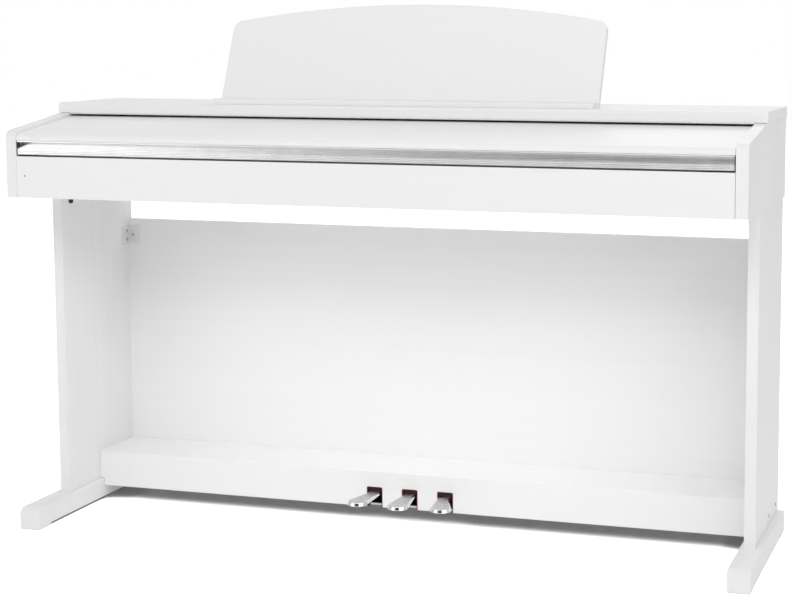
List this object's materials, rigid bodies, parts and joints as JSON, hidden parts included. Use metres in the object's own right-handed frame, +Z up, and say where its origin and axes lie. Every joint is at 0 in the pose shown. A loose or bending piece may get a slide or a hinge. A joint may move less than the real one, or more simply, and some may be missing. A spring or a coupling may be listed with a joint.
{
  "type": "upright piano",
  "caption": "Slim upright piano in white laminate: cabinet on two side legs, sliding key cover, full keyboard, pedals with felt-lined slots and a leaning music rest.",
  "frame": {"origin": "on the floor, at the middle of the width and the depth", "axes": "+X along the keyboard to the player's right, +Y from the player to the back, +Z up"},
  "size_m": [1.4092, 0.427, 1.0008],
  "materials": {
    "white_laminate": "satin white laminate with a faint grain",
    "rail_aluminium": "brushed, fluted",
    "bright_steel": "zinc plated",
    "pedal_metal": "satin nickel, polished lip",
    "black_metal": "black powder coat",
    "white_metal": "white enamel",
    "white_key": "gloss",
    "black_key": "satin",
    "black_plastic": "fine texture",
    "nylon": "natural nylon",
    "red_felt": "wool felt",
    "circuit_board": "solder mask",
    "speaker_cone": "pressed paper cone",
    "lamp_red": "tinted lens"
  },
  "bodies": {
    "root": {"left_cheek": "white_laminate", "right_cheek": "white_laminate", "top_board": "white_laminate", "front_board": "white_laminate", "keybed": "white_laminate", "cabinet_back": "white_laminate", "left_leg": "white_laminate", "right_leg": "white_laminate", "left_foot_bar": "white_laminate", "right_foot_bar": "white_laminate", "back_panel": "white_laminate", "pedal_box_front": "white_laminate", "pedal_box_top": "white_laminate", "pedal_box_base": "white_laminate", "pedal_slot_felts": "red_felt", "pedal_cradle": "black_metal", "pedal_axle": "bright_steel", "pedal_springs": "bright_steel", "panel_brackets": "white_metal", "bracket_screws": "bright_steel", "leg_screws": "bright_steel", "leg_bolt_knobs": "black_metal", "cover_tracks": "black_metal", "key_blocks": "black_plastic", "key_chassis": "black_plastic", "control_panel": "black_plastic", "speakers": "speaker_cone", "main_board": "circuit_board", "rear_sockets": "black_plastic", "status_led": "lamp_red", "music_rest_panel": "white_laminate", "music_rest_ledge": "white_laminate", "music_rest_brackets": "black_metal"},
    "cover_carriage": {"cover_runners": "nylon"},
    "key_cover": {"key_cover": "white_laminate", "cover_grip_rail": "rail_aluminium", "cover_brackets": "black_metal", "cover_shaft": "bright_steel"},
    "soft_pedal": {"soft_pedal": "pedal_metal"},
    "sostenuto_pedal": {"sostenuto_pedal": "pedal_metal"},
    "damper_pedal": {"damper_pedal": "pedal_metal"},
    "key_c4": {"key_c4": "white_key"},
    "key_d4": {"key_d4": "white_key"},
    "key_e4": {"key_e4": "white_key"},
    "key_f4": {"key_f4": "white_key"},
    "key_g4": {"key_g4": "white_key"},
    "key_a4": {"key_a4": "white_key"},
    "key_b4": {"key_b4": "white_key"},
    "key_c_sharp_4": {"key_c_sharp_4": "black_key"},
    "key_d_sharp_4": {"key_d_sharp_4": "black_key"},
    "key_f_sharp_4": {"key_f_sharp_4": "black_key"},
    "key_g_sharp_4": {"key_g_sharp_4": "black_key"},
    "key_a_sharp_4": {"key_a_sharp_4": "black_key"},
    "bass_white_keys": {"bass_white_keys": "white_key"},
    "bass_black_keys": {"bass_black_keys": "black_key"},
    "treble_white_keys": {"treble_white_keys": "white_key"},
    "treble_black_keys": {"treble_black_keys": "black_key"},
    "power_button": {"power_button": "black_plastic"},
    "function_button": {"function_button": "black_plastic"},
    "volume_knob": {"volume_knob": "black_plastic"}
  },
  "joints": [
    {"name": "cover_slide", "type": "slide", "parent": "root", "child": "cover_carriage", "axis": [0, 0.9903, 0.1386], "range_m": [0, 0.1666]},
    {"name": "cover_tilt", "type": "hinge", "parent": "cover_carriage", "child": "key_cover", "pos_m": [0, -0.1735, 0.7435], "axis": [1, 0, 0], "range_deg": [-8.1, 0]},
    {"name": "soft_pedal_press", "type": "hinge", "parent": "root", "child": "soft_pedal", "pos_m": [-0.0725, 0.1465, 0.052], "axis": [1, 0, 0], "range_deg": [0, 5], "stiffness_Nm_per_rad": 3, "springref_deg": -28.65},
    {"name": "sostenuto_pedal_press", "type": "hinge", "parent": "root", "child": "sostenuto_pedal", "pos_m": [0, 0.1465, 0.052], "axis": [1, 0, 0], "range_deg": [0, 5], "stiffness_Nm_per_rad": 3, "springref_deg": -28.65},
    {"name": "damper_pedal_press", "type": "hinge", "parent": "root", "child": "damper_pedal", "pos_m": [0.0725, 0.1465, 0.052], "axis": [1, 0, 0], "range_deg": [0, 5], "stiffness_Nm_per_rad": 3, "springref_deg": -28.65},
    {"name": "key_c4_press", "type": "hinge", "parent": "root", "child": "key_c4", "pos_m": [0, 0.0265, 0.705], "axis": [1, 0, 0], "range_deg": [0, 2.7], "stiffness_Nm_per_rad": 0.6, "springref_deg": -28.65},
    {"name": "key_d4_press", "type": "hinge", "parent": "root", "child": "key_d4", "pos_m": [0, 0.0265, 0.705], "axis": [1, 0, 0], "range_deg": [0, 2.7], "stiffness_Nm_per_rad": 0.6, "springref_deg": -28.65},
    {"name": "key_e4_press", "type": "hinge", "parent": "root", "child": "key_e4", "pos_m": [0, 0.0265, 0.705], "axis": [1, 0, 0], "range_deg": [0, 2.7], "stiffness_Nm_per_rad": 0.6, "springref_deg": -28.65},
    {"name": "key_f4_press", "type": "hinge", "parent": "root", "child": "key_f4", "pos_m": [0, 0.0265, 0.705], "axis": [1, 0, 0], "range_deg": [0, 2.7], "stiffness_Nm_per_rad": 0.6, "springref_deg": -28.65},
    {"name": "key_g4_press", "type": "hinge", "parent": "root", "child": "key_g4", "pos_m": [0, 0.0265, 0.705], "axis": [1, 0, 0], "range_deg": [0, 2.7], "stiffness_Nm_per_rad": 0.6, "springref_deg": -28.65},
    {"name": "key_a4_press", "type": "hinge", "parent": "root", "child": "key_a4", "pos_m": [0, 0.0265, 0.705], "axis": [1, 0, 0], "range_deg": [0, 2.7], "stiffness_Nm_per_rad": 0.6, "springref_deg": -28.65},
    {"name": "key_b4_press", "type": "hinge", "parent": "root", "child": "key_b4", "pos_m": [0, 0.0265, 0.705], "axis": [1, 0, 0], "range_deg": [0, 2.7], "stiffness_Nm_per_rad": 0.6, "springref_deg": -28.65},
    {"name": "key_c_sharp_4_press", "type": "hinge", "parent": "root", "child": "key_c_sharp_4", "pos_m": [0, 0.0265, 0.705], "axis": [1, 0, 0], "range_deg": [0, 2.7], "stiffness_Nm_per_rad": 0.6, "springref_deg": -28.65},
    {"name": "key_d_sharp_4_press", "type": "hinge", "parent": "root", "child": "key_d_sharp_4", "pos_m": [0, 0.0265, 0.705], "axis": [1, 0, 0], "range_deg": [0, 2.7], "stiffness_Nm_per_rad": 0.6, "springref_deg": -28.65},
    {"name": "key_f_sharp_4_press", "type": "hinge", "parent": "root", "child": "key_f_sharp_4", "pos_m": [0, 0.0265, 0.705], "axis": [1, 0, 0], "range_deg": [0, 2.7], "stiffness_Nm_per_rad": 0.6, "springref_deg": -28.65},
    {"name": "key_g_sharp_4_press", "type": "hinge", "parent": "root", "child": "key_g_sharp_4", "pos_m": [0, 0.0265, 0.705], "axis": [1, 0, 0], "range_deg": [0, 2.7], "stiffness_Nm_per_rad": 0.6, "springref_deg": -28.65},
    {"name": "key_a_sharp_4_press", "type": "hinge", "parent": "root", "child": "key_a_sharp_4", "pos_m": [0, 0.0265, 0.705], "axis": [1, 0, 0], "range_deg": [0, 2.7], "stiffness_Nm_per_rad": 0.6, "springref_deg": -28.65},
    {"name": "bass_white_keys_press", "type": "hinge", "parent": "root", "child": "bass_white_keys", "pos_m": [0, 0.0265, 0.705], "axis": [1, 0, 0], "range_deg": [0, 2.7], "stiffness_Nm_per_rad": 13.8, "springref_deg": -28.65},
    {"name": "bass_black_keys_press", "type": "hinge", "parent": "root", "child": "bass_black_keys", "pos_m": [0, 0.0265, 0.705], "axis": [1, 0, 0], "range_deg": [0, 2.7], "stiffness_Nm_per_rad": 9.6, "springref_deg": -28.65},
    {"name": "treble_white_keys_press", "type": "hinge", "parent": "root", "child": "treble_white_keys", "pos_m": [0, 0.0265, 0.705], "axis": [1, 0, 0], "range_deg": [0, 2.7], "stiffness_Nm_per_rad": 13.2, "springref_deg": -28.65},
    {"name": "treble_black_keys_press", "type": "hinge", "parent": "root", "child": "treble_black_keys", "pos_m": [0, 0.0265, 0.705], "axis": [1, 0, 0], "range_deg": [0, 2.7], "stiffness_Nm_per_rad": 9, "springref_deg": -28.65},
    {"name": "power_button_push", "type": "slide", "parent": "root", "child": "power_button", "axis": [0, 0, -1], "range_m": [0, 0.0015], "stiffness_N_per_m": 300, "springref_m": -0.003},
    {"name": "function_button_push", "type": "slide", "parent": "root", "child": "function_button", "axis": [0, 0, -1], "range_m": [0, 0.0015], "stiffness_N_per_m": 300, "springref_m": -0.003},
    {"name": "volume_turn", "type": "hinge", "parent": "root", "child": "volume_knob", "pos_m": [0.545, 0.0015, 0.747], "axis": [0, 0, -1], "range_deg": [-150, 150]}
  ],
  "couplings": [
    {"joint": "cover_tilt", "follows": "cover_slide", "rad_per_m": -0.8381}
  ]
}
